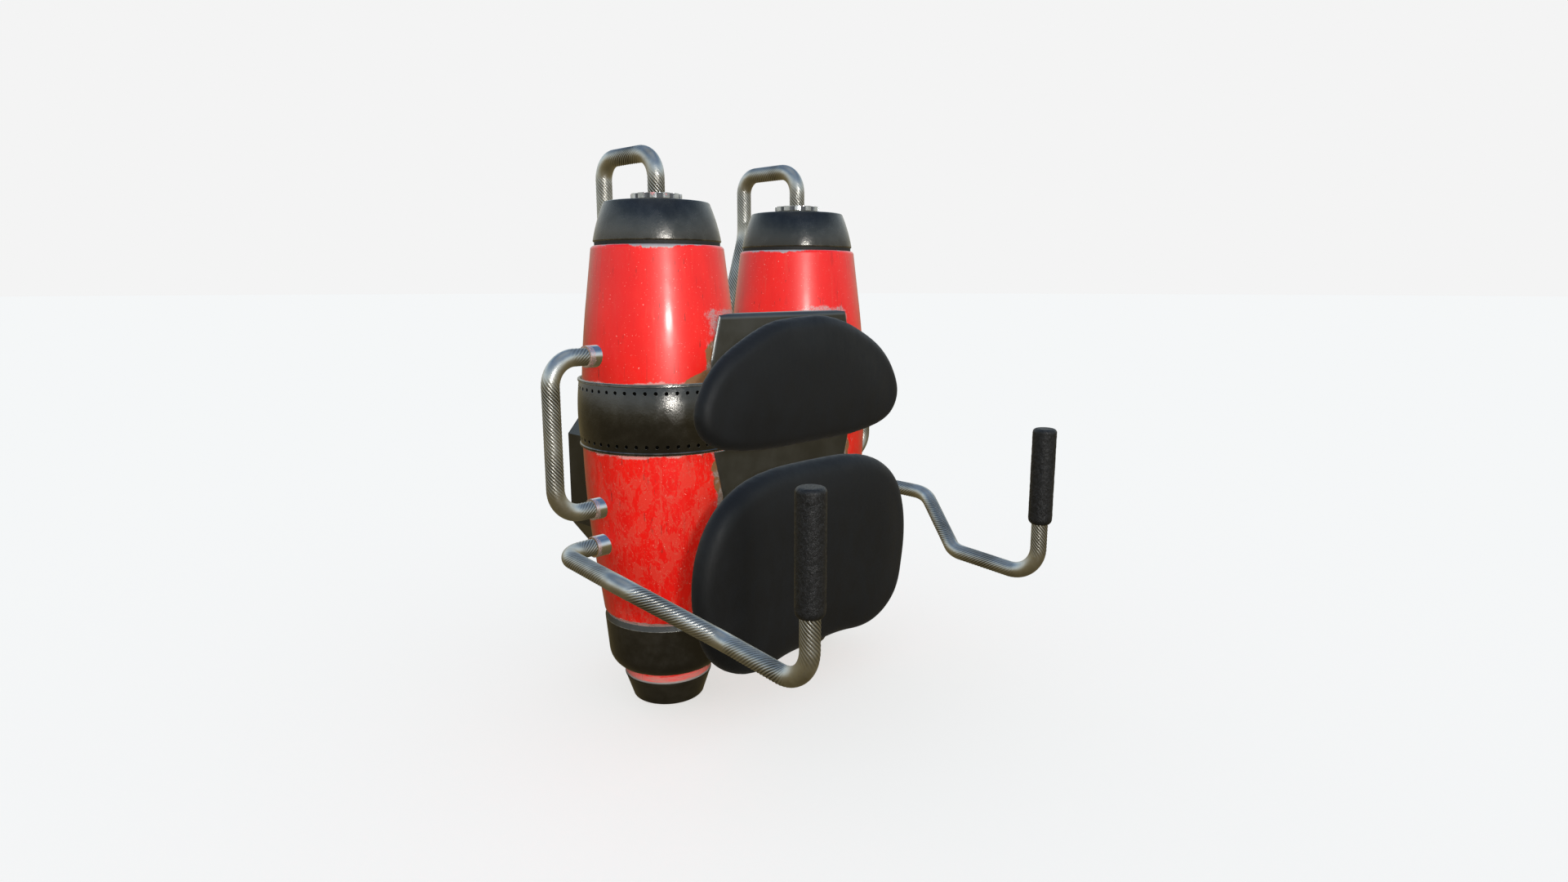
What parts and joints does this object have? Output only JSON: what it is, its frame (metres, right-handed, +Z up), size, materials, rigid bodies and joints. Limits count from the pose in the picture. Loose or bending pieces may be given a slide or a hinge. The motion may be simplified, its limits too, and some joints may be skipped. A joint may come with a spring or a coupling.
{
  "type": "twin tank back unit",
  "caption": "Free-standing twin-tank back unit with formed pipes, padded back plate, swinging control arms with twist grips, and a rear casing.",
  "frame": {"origin": "centre of the unit's footprint box, on the surface that the two foot caps stand on", "axes": "+Z up along the tanks, cushions and arms face -Y, +X to the wearer's left when worn; left and right in the names are as seen by someone facing the cushions"},
  "size_m": [0.7302, 0.6474, 0.8714],
  "materials": {
    "tank_paint": "gloss red enamel, worn to primer and bare metal at the edges",
    "black_cast": "semi-gloss black over a finely pitted casting",
    "pipe_steel": "polished steel with fine helical ribs",
    "collar_chrome": "bright chrome with worn red overspray",
    "wheel_steel": "machined steel",
    "fastener_steel": "zinc plated",
    "valve_brass": "machined",
    "cylinder_alloy": "as drawn",
    "plate_metal": "dark semi-gloss coating",
    "casing_metal": "black semi-gloss coating",
    "cushion_cloth": "matte black coated weave",
    "grip_leather": "wrinkled leather-grained rubber",
    "sleeve_plastic": "moulded",
    "seal_rubber": "matte",
    "board_wood": "plywood"
  },
  "bodies": {
    "frame": {"back_plate": "plate_metal", "cover_gasket": "seal_rubber", "cover_screw_frame": "casing_metal", "cover_screws": "fastener_steel", "left_arm_bush": "valve_brass", "left_arm_collar": "collar_chrome", "left_bottom_band": "black_cast", "left_cap_seal": "seal_rubber", "left_foot_cap": "black_cast", "left_inner_cylinder": "cylinder_alloy", "left_lower_loop_collar": "collar_chrome", "left_middle_band": "black_cast", "left_pipe_union": "wheel_steel", "left_side_loop": "pipe_steel", "left_tank_shell": "tank_paint", "left_top_cap": "black_cast", "left_top_pipe": "pipe_steel", "left_upper_loop_collar": "collar_chrome", "left_valve_body": "valve_brass", "left_wheel_retainer": "wheel_steel", "lower_cross_beam": "plate_metal", "lower_cushion": "cushion_cloth", "lower_pad_board": "board_wood", "manifold_block": "cylinder_alloy", "middle_cross_beam": "plate_metal", "pad_screws": "fastener_steel", "plate_bolts": "fastener_steel", "rear_casing": "casing_metal", "rear_cover": "casing_metal", "regulator": "valve_brass", "right_arm_bush": "valve_brass", "right_arm_collar": "collar_chrome", "right_bottom_band": "black_cast", "right_cap_seal": "seal_rubber", "right_foot_cap": "black_cast", "right_inner_cylinder": "cylinder_alloy", "right_lower_loop_collar": "collar_chrome", "right_middle_band": "black_cast", "right_pipe_union": "wheel_steel", "right_side_loop": "pipe_steel", "right_tank_shell": "tank_paint", "right_top_cap": "black_cast", "right_top_pipe": "pipe_steel", "right_upper_loop_collar": "collar_chrome", "right_valve_body": "valve_brass", "right_wheel_retainer": "wheel_steel", "upper_cross_beam": "plate_metal", "upper_cushion": "cushion_cloth", "upper_pad_board": "board_wood"},
    "left_arm": {"left_arm_tube": "pipe_steel", "left_arm_clip": "fastener_steel"},
    "left_grip": {"left_grip_sleeve": "sleeve_plastic", "left_hand_grip": "grip_leather"},
    "left_wheel": {"left_valve_wheel": "wheel_steel"},
    "right_arm": {"right_arm_tube": "pipe_steel", "right_arm_clip": "fastener_steel"},
    "right_grip": {"right_grip_sleeve": "sleeve_plastic", "right_hand_grip": "grip_leather"},
    "right_wheel": {"right_valve_wheel": "wheel_steel"}
  },
  "joints": [
    {"name": "left_arm_lift", "type": "hinge", "parent": "frame", "child": "left_arm", "pos_m": [-0.2743, 0.12315, 0.276], "axis": [-1, 0, 0], "range_deg": [-12, 60]},
    {"name": "left_grip_twist", "type": "hinge", "parent": "left_arm", "child": "left_grip", "pos_m": [-0.2771, -0.30445, 0.36], "axis": [0, 0, -1], "range_deg": [0, 70]},
    {"name": "left_valve_turn", "type": "hinge", "parent": "frame", "child": "left_wheel", "pos_m": [-0.1543, 0.12315, 0.788], "axis": [0, 0, 1], "range_deg": [0, 270]},
    {"name": "right_arm_lift", "type": "hinge", "parent": "frame", "child": "right_arm", "pos_m": [0.2743, 0.12315, 0.276], "axis": [-1, 0, 0], "range_deg": [-12, 60]},
    {"name": "right_grip_twist", "type": "hinge", "parent": "right_arm", "child": "right_grip", "pos_m": [0.2771, -0.30445, 0.36], "axis": [0, 0, 1], "range_deg": [0, 70]},
    {"name": "right_valve_turn", "type": "hinge", "parent": "frame", "child": "right_wheel", "pos_m": [0.1543, 0.12315, 0.788], "axis": [0, 0, 1], "range_deg": [0, 270]}
  ]
}
